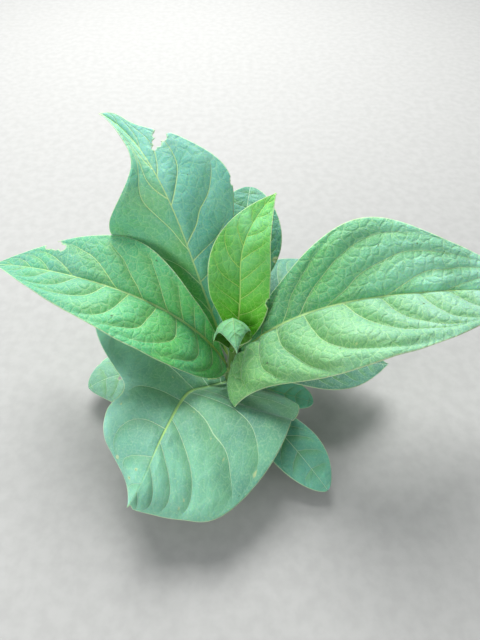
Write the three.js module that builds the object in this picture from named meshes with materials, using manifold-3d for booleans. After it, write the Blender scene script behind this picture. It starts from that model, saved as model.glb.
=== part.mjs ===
// A tobacco plant a few weeks after planting out: a short leaning stem, cut flat at the ground, that
// carries a rosette of broad leaves. Each leaf is one thin blade with its midrib running along the
// underside. Millimetres, +Z up; the origin is the centre of the stem's cut foot and +X is the
// direction of the longest leaf.
import * as THREE from "three";
import { mergeVertices } from "three/addons/utils/BufferGeometryUtils.js";
import Module from "manifold-3d";

const wasm = await Module();
wasm.setup();

const STEM_HEIGHT = 112; // ground to the start of the bud
const STEM_LEAN = new THREE.Vector2(4, 2); // how far the top stands off the foot
const STEM_FOOT_RADIUS = 12; // above the root flare
const STEM_TOP_RADIUS = 6.5;
const FLARE = 4; // extra radius at the ground
const FLARE_HEIGHT = 7; // over which the flare dies away
const BUD_HEIGHT = 7;
const TAPER_POWER = 1.4; // the stem thins faster towards its top
const STEM_SIDES = 24;
const STEM_RINGS = 14;
const BUD_RINGS = 4;
const CLEARANCE = 0.3; // between a leaf root and the stem
const ROOT_DEPTH = 1.5; // how far a midrib starts inside the line of the stem before it is cut back

const THINNEST = 1.5; // blade of the smallest leaves
const THICKNESS_SHARE = 0.0102; // blade thickness as a share of the leaf's length
const RIB_DEPTH_SHARE = 0.013; // how far the midrib stands below the blade at its root
const RIB_WIDTH_SHARE = 0.013; // half the width of the midrib at its root
const RIB_TAPER = 0.85; // share of its size that the midrib loses by the tip
const RIB_EDGE_DEPTH = 0.3; // its depth at its edges, as a share of that at its middle
const WIDEST_RIB_EDGE = 0.3; // the most of a half blade that it takes
const TIP_HALF_WIDTH = 1.2; // a leaf ends in a small blunt point
const ACROSS = [0.36, 0.7, 1]; // rows of points across half a blade, outside the midrib
const RIB_STEPS = 240; // steps in which a midrib is traced
const STEP = 1e-3; // small move along and across, for the blade's slope
const LEAF_GREEN = "#7fc88b";

// Each leaf: where it leaves the stem (turn about the stem in degrees, height), how long it is, and
// the bearing and slope of its midrib at even stations from root to tip. Each half blade: its
// greatest width, where along the leaf that comes, how broad it is at the stem (wing), how full its
// outline is, how it rises from the midrib (lift), bends on the way out (curl) and slants ahead (sweep).
const plain = {
  left: { half: 60, wing: 0.06, lift: [20, 10, 5, 0, 0], shape: [0.4, 0.8, 1, 1, 1] },
  right: { half: 60, wing: 0.06, lift: [20, 10, 5, 0, 0], shape: [0.4, 0.8, 1, 1, 1] },
};
const LEAVES = {
  leaf_right: {
    turn: -30, height: 88, length: 412, stations: 18,
    heading: [2, 3, 3, 3, 4], climb: [70, 36, 10, 0, -14],
    left: { half: 94, widest: 0.5, lift: [20, 36, 38, 34, 25], shape: [0.4, 0.62, 1.02, 0.86, 0.9] },
    right: { half: 92, widest: 0.45, wing: 0.85, lift: [35, -4, 5, 6, 4], curl: [-60, -14, 0, 0, 0] },
  },
  leaf_left: {
    turn: 203, height: 70, length: 388, stations: 16,
    heading: [160, 168, 165, 160, 160], climb: [67, 43, 13, -7, -18],
    left: { half: 70, widest: 0.36, wing: 0.2, lift: [-5, 0, 5, 5, 5] },
    right: { half: 72, widest: 0.42, wing: 0.06,
      lift: [10, 66, 34, 20, 10], shape: [0.12, 0.48, 0.94, 1, 1] },
  },
  leaf_back: {
    turn: 156, height: 84, length: 382, stations: 18,
    heading: [130, 129, 125, 125, 140], climb: [60, 64, 56, 21, 0],
    left: { half: 92, wing: 0.05,
      lift: [-20, -50, -56, -12, 60], shape: [0.3, 0.2, 0.25, 0.56, 1.02, 0.98, 0.3, 0.35, 0.8] },
    right: { half: 86, wing: 0.06,
      lift: [20, 15, 15, 20, 60], shape: [0.2, 0.15, 0.28, 0.6, 0.8, 0.98, 0.76, 0.4, 0.8] },
  },
  leaf_front: {
    turn: -132, height: 38, length: 248, stations: 20,
    heading: [-140, -140, -140, -113, -108, -108, -107, -114, -135],
    climb: [30, 33, 36, 23, 12, 8, -2, -14, -34],
    left: { half: 132, widest: 0.4, wing: 0.3, full: 0.8, lift: [25, 18, -20, -40, -50],
      sweep: [-0.4, -0.45, 0.4, 0.7, 0.8], shape: [1.1, 1.1, 1, 1.06, 0.96, 0.88, 0.78, 0.7, 0.6] },
    right: { half: 150, widest: 0.35, wing: 0.1, full: 0.8, lift: [0, 16, 14, -8, -20],
      sweep: [0, 0.5, 0, 0, 0], shape: [0.3, 0.36, 1.06, 0.62, 0.5, 0.66, 0.72, 0.62, 0.5] },
  },
  leaf_centre: {
    turn: 87, height: 96, length: 226, stations: 14,
    heading: [60, 75, 90, 52, 30], climb: [74, 70, 62, 48, 34],
    left: { half: 42, widest: 0.46, wing: 0.06,
      lift: [10, 8, 18, 20, 20], shape: [0.4, 0.78, 1, 1, 1] },
    right: { half: 46, wing: 0.06, lift: [40, 30, 22, 8, 0], shape: [1.2, 1.1, 0.86, 1.08, 1.4] },
  },
  leaf_hooded: {
    turn: 108, height: 108, length: 118, stations: 14,
    heading: [70, 80, 90, 97, 100], climb: [86, 84, 116, 196, 232],
    left: { half: 38, wing: 0.2, lift: [60, 40, 5, 0, 0], curl: [0, 30, 90, 70, 40] },
    right: { half: 38, wing: 0.2, lift: [60, 40, 10, 5, 0], curl: [0, 30, 80, 60, 40] },
  },
  leaf_behind: {
    turn: 92, height: 78, length: 240, stations: 12,
    heading: [80, 82, 82, 82, 82], climb: [56, 60, 52, 36, 10],
    left: { half: 50, widest: 0.6, wing: 0.06, full: 0.6,
      lift: [30, 15, 10, 10, 10], shape: [0.4, 0.6, 1, 1] },
    right: { half: 52, widest: 0.6, wing: 0.06, full: 0.6,
      lift: [30, 15, 10, 10, 10], shape: [0.4, 0.5, 1, 1] },
  },
  leaf_back_right: {
    turn: 32, height: 72, length: 246, stations: 12,
    heading: [40, 46, 50, 52, 55], climb: [58, 36, 8, -18, -36],
    left: { half: 54, wing: 0.05, lift: [20, 10, 5, 0, 0], shape: [0.5, 0.8, 1, 1, 1] },
    right: { half: 54, lift: [20, 10, 5, 0, 0] },
  },
  leaf_low_back: {
    turn: 90, height: 58, length: 270, stations: 12,
    heading: [96, 98, 96, 94, 92], climb: [44, 24, 2, -18, -30],
    ...plain,
  },
  leaf_low_back_left: {
    turn: 146, height: 32, length: 280, stations: 12,
    heading: [138, 136, 134, 134, 136], climb: [34, 14, 0, -10, -16],
    ...plain,
  },
  leaf_low_left: {
    turn: 169, height: 18, length: 206, stations: 12,
    heading: [178, 176, 181, 189, 212], climb: [26, 14, 2, -6, -16],
    left: { half: 54, widest: 0.62, full: 0.6, lift: [10, 5, 0, 0, 0], curl: [0, 0, -10, -10, -10] },
    right: { half: 50, widest: 0.62, full: 0.6, lift: [10, 5, 0, 0, 0], curl: [0, 0, -10, -10, -10] },
  },
  leaf_low_front: {
    turn: -60, height: 17, length: 198, stations: 12,
    heading: [-54, -53, -51, -50, -50], climb: [28, 14, 2, -14, -24],
    left: { half: 36, widest: 0.68, full: 0.6, lift: [10, 5, 0, 0, 0], curl: [0, 0, -10, -10, -10] },
    right: { half: 34, widest: 0.6, full: 0.6, lift: [10, 5, 0, 0, 0], curl: [0, 0, -10, -10, -10] },
  },
  leaf_low_right: {
    turn: -4, height: 44, length: 226, stations: 12,
    heading: [-4, 0, 4, 6, 8], climb: [38, 16, -2, -12, -18],
    left: { half: 46, widest: 0.55, lift: [10, 5, 0, 0, 0] },
    right: { half: 42, widest: 0.6, lift: [10, 0, -5, -5, 0] },
  },
  leaf_low_small: {
    turn: -30, height: 30, length: 113, stations: 10,
    heading: [-24, -20, -18, -16, -14], climb: [16, 10, 2, -6, -14],
    left: { half: 23, widest: 0.68, wing: 0.2, full: 0.5, lift: [10, 5, 0, 0, 0] },
    right: { half: 19, widest: 0.68, wing: 0.2, full: 0.5, lift: [10, 5, 0, 0, 0] },
  },
  leaf_sprout: {
    turn: 215, height: 60, length: 34, stations: 8,
    heading: [205, 205, 208, 212, 216], climb: [30, 24, 10, -10, -40],
    left: { half: 8, widest: 0.6, wing: 0.3, lift: [30, 10, 0, 0, 0] },
    right: { half: 8, widest: 0.6, wing: 0.3, lift: [30, 10, 0, 0, 0] },
  },
};

const rad = THREE.MathUtils.degToRad;

// The smooth value at share s of the way through evenly spaced station values.
function along(values, s) {
  const n = values.length - 1;
  const x = Math.min(Math.max(s, 0), 1) * n;
  const i = Math.min(Math.floor(x), n - 1);
  const f = x - i;
  const [p1, p2] = [values[i], values[i + 1]];
  const p0 = i > 0 ? values[i - 1] : 2 * p1 - p2;
  const p3 = i < n - 1 ? values[i + 2] : 2 * p2 - p1;
  const a = 2 * p0 - 5 * p1 + 4 * p2 - p3;
  const b = 3 * p1 - p0 - 3 * p2 + p3;
  return 0.5 * (2 * p1 + (p2 - p0) * f + a * f ** 2 + b * f ** 3);
}

// One closed mesh from rings of points, each ring turning the same way, with a fan or strip at each end.
function closedMesh(rings, cap) {
  const size = rings[0].length;
  const position = rings.flat().flatMap((p) => [p.x, p.y, p.z]);
  const index = [];
  for (let i = 0; i + 1 < rings.length; i++)
    for (let j = 0; j < size; j++) {
      const [a, b] = [i * size + j, i * size + ((j + 1) % size)];
      index.push(a, b, a + size, b, b + size, a + size);
    }
  const last = (rings.length - 1) * size;
  for (const [a, b, c] of cap(size)) index.push(a, c, b, last + a, last + b, last + c);
  const geometry = new THREE.BufferGeometry();
  geometry.setAttribute("position", new THREE.Float32BufferAttribute(position, 3));
  geometry.setIndex(index);
  return geometry;
}

const fan = (size) => Array.from({ length: size - 2 }, (_, k) => [0, k + 1, k + 2]);
const strip = (size) =>
  Array.from({ length: size / 2 - 1 }, (_, k) => [
    [k, k + 1, size - 1 - k],
    [k + 1, size - 2 - k, size - 1 - k],
  ]).flat();

// The closed solid of a geometry, with its faces turned outwards.
function solidOf(geometry) {
  const bare = geometry.clone();
  bare.deleteAttribute("normal");
  bare.deleteAttribute("uv");
  const merged = mergeVertices(bare, 1e-4);
  const solid = (flip) => {
    const triVerts = new Uint32Array(merged.index.array);
    if (flip)
      for (let i = 0; i < triVerts.length; i += 3)
        [triVerts[i + 1], triVerts[i + 2]] = [triVerts[i + 2], triVerts[i + 1]];
    const vertProperties = merged.attributes.position.array;
    return new wasm.Manifold(new wasm.Mesh({ numProp: 3, vertProperties, triVerts }));
  };
  const made = solid(false);
  return made.volume() > 0 ? made : solid(true);
}

function geometryOf(solid) {
  const mesh = solid.getMesh();
  const geometry = new THREE.BufferGeometry();
  geometry.setAttribute("position", new THREE.BufferAttribute(mesh.vertProperties, mesh.numProp));
  geometry.setIndex(new THREE.BufferAttribute(mesh.triVerts, 1));
  geometry.computeVertexNormals();
  return geometry;
}

// The stem's axis leans; its radius tapers upwards and flares out over the ground.
function stemAxis(z) {
  const share = z / STEM_HEIGHT;
  return new THREE.Vector3(STEM_LEAN.x * share, STEM_LEAN.y * share, z);
}

function stemRadius(z) {
  const taper = THREE.MathUtils.lerp(STEM_FOOT_RADIUS, STEM_TOP_RADIUS, (z / STEM_HEIGHT) ** TAPER_POWER);
  return taper + FLARE * Math.exp(-z / FLARE_HEIGHT);
}

// The stem from its flat foot to the rounded bud; `grown` adds a clearance all round for cutting.
function stemSolid(grown) {
  const heights = [];
  for (let i = 0; i <= STEM_RINGS; i++) heights.push(STEM_HEIGHT * (i / STEM_RINGS) ** 1.5);
  const rings = heights.map((z) => ({ z, radius: stemRadius(z) }));
  for (let i = 1; i <= BUD_RINGS; i++) {
    const angle = (i / (BUD_RINGS + 0.5)) * (Math.PI / 2);
    const z = STEM_HEIGHT + (BUD_HEIGHT + grown) * Math.sin(angle);
    rings.push({ z, radius: STEM_TOP_RADIUS * Math.cos(angle) });
  }
  if (grown) rings[0].z -= 1;
  return solidOf(
    closedMesh(
      rings.map(({ z, radius }) => {
        const centre = stemAxis(z);
        return Array.from({ length: STEM_SIDES }, (_, k) => {
          const angle = (k / STEM_SIDES) * 2 * Math.PI;
          return new THREE.Vector3(Math.cos(angle), Math.sin(angle), 0)
            .multiplyScalar(radius + grown)
            .add(centre);
        });
      }),
      fan,
    ),
  );
}

// Share of a half blade's greatest width at s: a winged stalk that swells and runs out to the tip.
function breadth({ widest = 0.5, wing = 0.12, full = 1, shape = [1, 1] }, s) {
  const blade = Math.sin(Math.PI * s ** (Math.log(0.5) / Math.log(widest)));
  const stalk = wing * (1 - s) ** 3;
  return (Math.max(blade, 0) ** full * (1 - stalk) + stalk) * along(shape, s);
}

const halfWidth = (side, s) => Math.max(side.half * breadth(side, s), TIP_HALF_WIDTH);

// The midrib's own directions at s: along it, level to its left, and up out of the blade.
function slope(leaf, s) {
  const [h, c] = [rad(along(leaf.heading, s)), rad(along(leaf.climb, s))];
  const forward = new THREE.Vector3(Math.cos(c) * Math.cos(h), Math.cos(c) * Math.sin(h), Math.sin(c));
  const leftward = new THREE.Vector3(-Math.sin(h), Math.cos(h), 0);
  return { forward, leftward, upward: forward.clone().cross(leftward) };
}

// The midrib's points, from just inside the line of the stem out to the tip.
function traceRib(leaf) {
  const angle = rad(leaf.turn);
  const reach = stemRadius(leaf.height) - ROOT_DEPTH;
  const outward = new THREE.Vector3(Math.cos(angle), Math.sin(angle), 0);
  const points = [stemAxis(leaf.height).addScaledVector(outward, reach)];
  for (let i = 0; i < RIB_STEPS; i++) {
    const { forward } = slope(leaf, (i + 0.5) / RIB_STEPS);
    points.push(points[i].clone().addScaledVector(forward, leaf.length / RIB_STEPS));
  }
  return points;
}

// The place on the blade's middle surface at s along the leaf and q across, q > 0 on the left half.
function bladePoint(leaf, rib, station, q) {
  const s = Math.min(Math.max(station, 0), 1);
  const x = s * RIB_STEPS;
  const i = Math.min(Math.floor(x), RIB_STEPS - 1);
  const point = rib[i].clone().lerp(rib[i + 1], x - i);
  const side = q < 0 ? leaf.right : leaf.left;
  const share = Math.abs(q);
  const width = halfWidth(side, s);
  const lift = rad(along(side.lift, s));
  const curl = rad(along(side.curl ?? [0, 0], s));
  const { forward, leftward, upward } = slope(leaf, s);
  const end = lift + curl * share;
  const bent = Math.abs(curl) > 1e-3;
  const out = bent ? (Math.sin(end) - Math.sin(lift)) / curl : share * Math.cos(lift);
  const rise = bent ? (Math.cos(lift) - Math.cos(end)) / curl : share * Math.sin(lift);
  return point
    .addScaledVector(leftward, Math.sign(q) * width * out)
    .addScaledVector(upward, width * rise)
    .addScaledVector(forward, width * share * along(side.sweep ?? [0, 0], s));
}

// One leaf as a closed solid: rings of points over and under the blade, cut back clear of the stem.
function leafSolid(leaf, cutter) {
  const rib = traceRib(leaf);
  const half = Math.max(THINNEST, leaf.length * THICKNESS_SHARE) / 2;
  const rings = [];
  for (let i = 0; i <= leaf.stations; i++) {
    const s = i / leaf.stations;
    const taper = 1 - RIB_TAPER * s;
    const ribWidth = leaf.length * RIB_WIDTH_SHARE * taper;
    const edge = (side) => Math.min(WIDEST_RIB_EDGE, ribWidth / halfWidth(side, s));
    const rows = [
      ...ACROSS.toReversed().map((q) => ({ q, rib: 0 })),
      { q: edge(leaf.left), rib: RIB_EDGE_DEPTH },
      { q: 0, rib: 1 },
      { q: -edge(leaf.right), rib: RIB_EDGE_DEPTH },
      ...ACROSS.map((q) => ({ q: -q, rib: 0 })),
    ];
    const top = [];
    const under = [];
    for (const row of rows) {
      const point = bladePoint(leaf, rib, s, row.q);
      const ahead = bladePoint(leaf, rib, s + STEP, row.q).sub(bladePoint(leaf, rib, s - STEP, row.q));
      const across = bladePoint(leaf, rib, s, row.q + STEP).sub(bladePoint(leaf, rib, s, row.q - STEP));
      const normal = ahead.cross(across).normalize();
      top.push(point.clone().addScaledVector(normal, half));
      under.push(point.addScaledVector(normal, -half - row.rib * leaf.length * RIB_DEPTH_SHARE * taper));
    }
    rings.push([...top, ...under.toReversed()]);
  }
  const pieces = solidOf(closedMesh(rings, strip)).subtract(cutter).decompose();
  return pieces.reduce((a, b) => (b.volume() > a.volume() ? b : a));
}

const group = new THREE.Group();
group.name = "tobacco_plant";

function add(name, solid, colour) {
  const material = new THREE.MeshStandardMaterial({ color: colour, roughness: 0.6 });
  const mesh = new THREE.Mesh(geometryOf(solid), material);
  mesh.name = name;
  group.add(mesh);
}

add("stem", stemSolid(0), "#a9c98c");
const cutter = stemSolid(CLEARANCE);
for (const [name, leaf] of Object.entries(LEAVES)) add(name, leafSolid(leaf, cutter), LEAF_GREEN);

export default group;
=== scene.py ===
"""A young tobacco plant: a short leaning stem that carries a rosette of broad quilted leaves.

Every piece is grown by the rule that its solid was grown by, carried on to the veins, the swellings
between them, the caterpillars' bites and the hairy bloom. The plant's sizes are millimetres until a mesh
is filled, and those of the camera, the lamps and the floor are metres.
"""
import math

import bpy
import numpy as np
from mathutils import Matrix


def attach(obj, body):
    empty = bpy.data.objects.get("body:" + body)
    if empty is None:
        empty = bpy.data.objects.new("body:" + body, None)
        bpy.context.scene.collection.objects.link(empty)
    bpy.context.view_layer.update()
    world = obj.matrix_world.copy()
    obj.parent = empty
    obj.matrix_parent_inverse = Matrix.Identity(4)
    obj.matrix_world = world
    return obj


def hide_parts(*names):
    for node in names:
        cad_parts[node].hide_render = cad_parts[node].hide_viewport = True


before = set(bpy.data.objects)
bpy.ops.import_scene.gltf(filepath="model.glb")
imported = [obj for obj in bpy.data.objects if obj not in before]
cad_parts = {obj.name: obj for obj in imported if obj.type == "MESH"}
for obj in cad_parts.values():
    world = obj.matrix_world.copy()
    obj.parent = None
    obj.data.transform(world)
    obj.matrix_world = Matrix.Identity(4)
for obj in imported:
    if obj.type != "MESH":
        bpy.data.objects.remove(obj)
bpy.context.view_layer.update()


# The camera: held low in front of the plant and tipped down at it, as the photograph was taken,
# with a phone's main lens.
IMAGE = (480, 640)  # the photograph's size in pixels
FOCAL_PIXELS = 480.7
SENSOR = 36.0
CAMERA_PLACE = (0.012, -0.365, 0.640)
CAMERA_PITCH = 52.0  # degrees below level

bpy.ops.object.select_all(action="DESELECT")
bpy.ops.object.camera_add(location=CAMERA_PLACE, rotation=(math.radians(90 - CAMERA_PITCH), 0, 0))
camera = bpy.context.active_object
camera.name = "camera"
bpy.context.scene.view_settings.view_transform = "Standard"
camera.data.sensor_width = SENSOR
camera.data.lens = FOCAL_PIXELS / max(IMAGE) * SENSOR
bpy.context.scene.camera = camera


# The stem: a juicy green stalk, ribbed where the leaf bases run down it and covered in short sticky
# hairs. It leans a little, tapers to the bud and flares out over the ground, where it is cut flat.
MM = 0.001  # metres in a millimetre
STEM_HEIGHT = 112
STEM_LEAN = (4, 2)  # how far the top stands to the side of the foot
STEM_FOOT_RADIUS = 12
STEM_TOP_RADIUS = 6.5
STEM_TAPER_POWER = 1.4
FLARE = 4
FLARE_HEIGHT = 7
BUD_HEIGHT = 7
STEM_SIDES = 96
STEM_RINGS = 64
RING_CROWDING = 1.3  # how the rings crowd towards the foot
BUD_RINGS = 12
STEM_RIBS = 5  # low ridges that wind up the stem
STEM_RIB_HEIGHT = 0.55
STEM_RIB_WIND = 17  # height in which a ridge's wave goes on by one radian
STEM_RIB_END = 30  # the ridges die out over this height under the bud
STEM_UNEVEN = 0.35  # height of the patches that make the skin uneven
STEM_PATCH = 9
PATCH_START = 40  # moves the patches round the stem
STEM_SEED = 3
STEM_CUT = 4  # the foot keeps a round outline, and the relief grows in over this height
STEM_CORE = 2  # points this near the axis stay where they are
STEM_GREEN = "#7a9f48"
STEM_FOOT = "#9aa07a"
STEM_FIBRE = "#b9cf8e"
# painted shade: the stem is darkened to this green towards the bud, where it lies in the shade under the
# leaves
BUD_PAINTED_SHADE = "#4c7a20"
FOOT_FADE = (0.004, 0.045)  # metres up the stem over which the foot's colour gives way
BUD_SHADE_FADE = (0.07, 0.1)
RIPPLE_SIZE = 64  # rows and columns of random heights before the unevenness repeats
FIBRE_SCALE = 700.0
FIBRE_STRETCH = 0.12
STEM_BUMP = 0.0006


def stem_axis(z):
    """The middle of the stem at height z."""
    share = np.asarray(z) / STEM_HEIGHT
    return np.stack([STEM_LEAN[0] * share, STEM_LEAN[1] * share, z + 0 * share], -1)


def stem_radius(z):
    """The stem's radius at height z: tapered, and flared over the ground."""
    share = np.clip(np.asarray(z) / STEM_HEIGHT, 0, 1)
    taper = STEM_FOOT_RADIUS + (STEM_TOP_RADIUS - STEM_FOOT_RADIUS) * share**STEM_TAPER_POWER
    return taper + FLARE * np.exp(-np.maximum(z, 0) / FLARE_HEIGHT)


def points_of(piece):
    """The piece's points in millimetres, as rows."""
    flat = np.empty(len(piece.data.vertices) * 3)
    piece.data.vertices.foreach_get("co", flat)
    return flat.reshape(-1, 3) / MM


def move_points(piece, points):
    """Puts the piece's points at the given places in millimetres."""
    piece.data.vertices.foreach_set("co", (points * MM).ravel())
    piece.data.update()


def between(table, i, j, f, g):
    """The table's value at row i + f and column j + g."""
    low = table[i, j] * (1 - f) + table[i + 1, j] * f
    high = table[i, j + 1] * (1 - f) + table[i + 1, j + 1] * f
    return low * (1 - g) + high * g


def ripple(a, b, size, seed):
    """Smooth seeded unevenness between about -1 and 1, in patches of that size."""
    table = np.random.default_rng(seed).uniform(-1, 1, (RIPPLE_SIZE, RIPPLE_SIZE))
    table = np.pad(table, (0, 1), mode="wrap")
    a, b = a / size, b / size
    i, j = np.floor(a).astype(int), np.floor(b).astype(int)
    f, g = a - i, b - j
    f, g = f * f * (3 - 2 * f), g * g * (3 - 2 * g)
    return between(table, i % RIPPLE_SIZE, j % RIPPLE_SIZE, f, g)


def colour(text):
    """The linear colour of a #rrggbb value."""
    parts = [int(text[i : i + 2], 16) / 255 for i in (1, 3, 5)]
    return [p / 12.92 if p <= 0.04045 else ((p + 0.055) / 1.055) ** 2.4 for p in parts] + [1]


def set_inputs(tree, node, values):
    """Links the node's sockets to others, or gives them plain values."""
    for name, value in values.items():
        socket = node.inputs[name]
        if isinstance(value, bpy.types.NodeSocket):
            tree.links.new(value, socket)
        else:
            socket.default_value = value


def add_node(tree, kind, values=None, **settings):
    """A shader node with its settings and inputs."""
    node = tree.nodes.new("ShaderNode" + kind)
    for name, value in settings.items():
        setattr(node, name, value)
    set_inputs(tree, node, values or {})
    return node


def maths(tree, operation, a, b=0.0, c=0.0):
    """The result of one sum on values or sockets."""
    return add_node(tree, "Math", {0: a, 1: b, 2: c}, operation=operation).outputs[0]


def product(tree, a, b):
    return maths(tree, "MULTIPLY", a, b)


def fade(tree, value, start, end, low=0.0, high=1.0):
    """low below start and high past end, smoothly between."""
    values = {"Value": value, "From Min": start, "From Max": end, "To Min": low, "To Max": high}
    return add_node(tree, "MapRange", values, interpolation_type="SMOOTHSTEP").outputs["Result"]


def blend(tree, share, a, b):
    """Colour a turning to b by share."""
    return add_node(tree, "Mix", {0: share, 6: a, 7: b}, data_type="RGBA").outputs[2]


def parts_of(tree, vector):
    """The X, Y and Z of a vector."""
    return add_node(tree, "SeparateXYZ", {0: vector}).outputs


def mottle(tree, scale, detail=3.0):
    """Noise over the piece's own place, as a share."""
    place = add_node(tree, "TexCoord").outputs["Object"]
    return add_node(tree, "TexNoise", {"Vector": place, "Scale": scale, "Detail": detail}).outputs["Fac"]


def new_material(name):
    """A new material, its node tree and its Principled shader."""
    material = bpy.data.materials.new(name)
    material.use_nodes = True
    return material, material.node_tree, material.node_tree.nodes["Principled BSDF"]


foot_radius = float(stem_radius(0))
bpy.ops.object.select_all(action="DESELECT")
bpy.ops.mesh.primitive_circle_add(vertices=STEM_SIDES, radius=foot_radius * MM, fill_type="NGON")
stem = bpy.context.active_object
stem.name = "stem_body"
ring_heights = [STEM_HEIGHT * (i / STEM_RINGS) ** RING_CROWDING for i in range(1, STEM_RINGS + 1)]
rings = [(z, float(stem_radius(z))) for z in ring_heights]
for i in range(1, BUD_RINGS + 1):
    angle = i / (BUD_RINGS + 0.5) * math.pi / 2
    rings.append((STEM_HEIGHT + BUD_HEIGHT * math.sin(angle), STEM_TOP_RADIUS * math.cos(angle)))

# The round foot is drawn up ring by ring to a small cap on the bud.
bpy.ops.object.mode_set(mode="EDIT")
bpy.ops.mesh.select_all(action="SELECT")
below, radius_below = 0.0, foot_radius
for z, radius in rings:
    step = (stem_axis(z) - stem_axis(below)) * MM
    bpy.ops.mesh.extrude_region_move(TRANSFORM_OT_translate={"value": tuple(step)})
    share = radius / radius_below
    centre = tuple(stem_axis(z) * MM)
    bpy.ops.transform.resize(value=(share, share, 1), center_override=centre)
    below, radius_below = z, radius
bpy.ops.mesh.select_all(action="SELECT")
bpy.ops.mesh.normals_make_consistent(inside=False)
bpy.ops.object.mode_set(mode="OBJECT")
stem_points = points_of(stem)
height = stem_points[:, 2]
outward = stem_points - stem_axis(height)
around = np.arctan2(outward[:, 1], outward[:, 0])
winding = np.cos(STEM_RIBS * around + height / STEM_RIB_WIND) * STEM_RIB_HEIGHT
winding = winding * np.clip((STEM_HEIGHT - height) / STEM_RIB_END, 0, 1)
uneven = STEM_UNEVEN * ripple(around * STEM_PATCH + PATCH_START, height, STEM_PATCH, STEM_SEED)
swell = (winding + uneven) * np.clip(height / STEM_CUT, 0, 1)
length_out = np.maximum(np.linalg.norm(outward, axis=1, keepdims=True), 1e-6)
move_points(stem, stem_points + outward / length_out * swell[:, None] * (length_out > STEM_CORE))
bpy.ops.object.shade_smooth_by_angle(angle=math.radians(40))

stem_material, tree, shader = new_material("stem_skin")
place = add_node(tree, "TexCoord").outputs["Object"]
up = parts_of(tree, place)["Z"]
long_fibre = add_node(tree, "Mapping", {"Vector": place, "Scale": (1, 1, FIBRE_STRETCH)}).outputs[0]
values = {"Vector": long_fibre, "Scale": FIBRE_SCALE, "Detail": 4.0}
fibre = add_node(tree, "TexNoise", values).outputs["Fac"]
skin = blend(tree, fade(tree, up, *FOOT_FADE), colour(STEM_FOOT), colour(STEM_GREEN))
# Painted shade: darker towards the bud, under the leaves.
skin = blend(tree, fade(tree, up, *BUD_SHADE_FADE), skin, colour(BUD_PAINTED_SHADE))
skin = blend(tree, fade(tree, fibre, 0.4, 0.75, 0.0, 0.2), skin, colour(STEM_FIBRE))
roughness = fade(tree, fibre, 0.2, 0.8, 0.5, 0.72)
relief = add_node(tree, "Bump", {"Height": fibre, "Strength": 0.5, "Distance": STEM_BUMP})
values = {"Base Color": skin, "Roughness": roughness, "Sheen Weight": 0.35, "Normal": relief.outputs[0]}
set_inputs(tree, shader, values)
stem.data.materials.append(stem_material)
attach(stem, "root")
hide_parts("stem")


# The leaf to the right, the longest: a strong midrib pressed in along the top, with side veins that
# sweep forward and the blade swollen into cushions between them. It lies nearly flat, its upper half
# tipped up, and clasps the stem with a full lobe at the near side of its base.
RIB_STEPS = 240  # steps in which a midrib is traced
ROOT_DEPTH = 1.5  # how far a midrib starts inside the line of the stem
TIP_HALF_WIDTH = 1.2  # a leaf ends in a small blunt point
BLADE_THICKNESS = 0.7
BLADE_CLEARANCE = 0.2  # between a blade's upper face and the stem
CELL = 1.6  # size of the mesh's cells
CROWDING = 1.3  # how the rows crowd towards the midrib
NUDGE = 1e-3  # small move along and across, for slopes

# The table that gives a half blade's points their vein numbers, and how the veins wander.
TABLE_STEP = 2.0  # millimetres along the midrib from row to row
TABLE_SHARES = 41  # columns, from the midrib to the margin
OVERRUN = 150  # veins are followed from this far before the root to this far past the tip
TABLE_START = -80  # the table runs from here, before the root, to TABLE_PAST beyond the tip
TABLE_PAST = 20
MORE_VEINS = 9  # veins added at each end, as far apart as the two nearest
SHARE_NUDGE = 0.02
LEAST_WIDTH = 4  # a narrower half blade counts as this wide for its veins
VEIN_WAVER = 0.08  # how far a vein wanders, as a share of the way to the next
WAVER_PATCH = 26
OTHER_HALF = 400  # moves the left half's wandering away from the right half's

# The blade's upper surface: cushions between the veins, a quilted net in them, a channel along the
# midrib with the rib's back in it, a broad sway and a frilled margin.
CUSHION_POWER = 2.2
CUSHION_START = 9  # millimetres from the midrib over which the cushions swell up
CUSHION_END = 0.16  # share of the half blade at the margin over which they die out
CUSHION_END_POWER = 0.7
WIDEST_GAP = 34  # a cushion between veins further apart than this is no higher
CUSHION_UNEVEN = 0.4
CUSHION_PATCH = 60
QUILT_POWER = 3
QUILT_HEIGHT = 0.55
QUILT_PATCH = 15
FINE_QUILT_HEIGHT = 0.3
FINE_QUILT_PATCH = 7
GROOVE_SHARE = 0.013  # width of the channel along the midrib, as a share of the leaf's length
GROOVE_DEPTH = 0.35
RIB_BACK = 0.16
RIB_BACK_WIDTH = 0.45
SWAY_PATCH = 75
FRILL_PATCH = 24
FRILL_APART = 30  # keeps the two margins' frills different
SWAY_START = 0.2  # shares of the leaf over which the sway and the frill grow in and end
FRILL_START = 0.15
FRILL_END = 0.08

# The underside: the midrib and the side veins stand proud of it.
RIB_TAPER = 0.85  # share of its size that the midrib loses by the tip
RIB_HALF = 1.5  # half the midrib's width, in the leaf's own rib sizes
RIB_PROUD = 1.5  # how far the midrib stands below the blade, as a share of half its width
VEIN_PROUD = 0.75
VEIN_HALF = 0.4
VEIN_HALF_GROWTH = 0.8
VEIN_END = 12  # the side veins sink in over this far from the margin

# The bites: round, with a ragged rim that dries pale.
BITE_RAGGED = 0.09
BITE_LOBES = 5
BITE_RIM = 2


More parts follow.
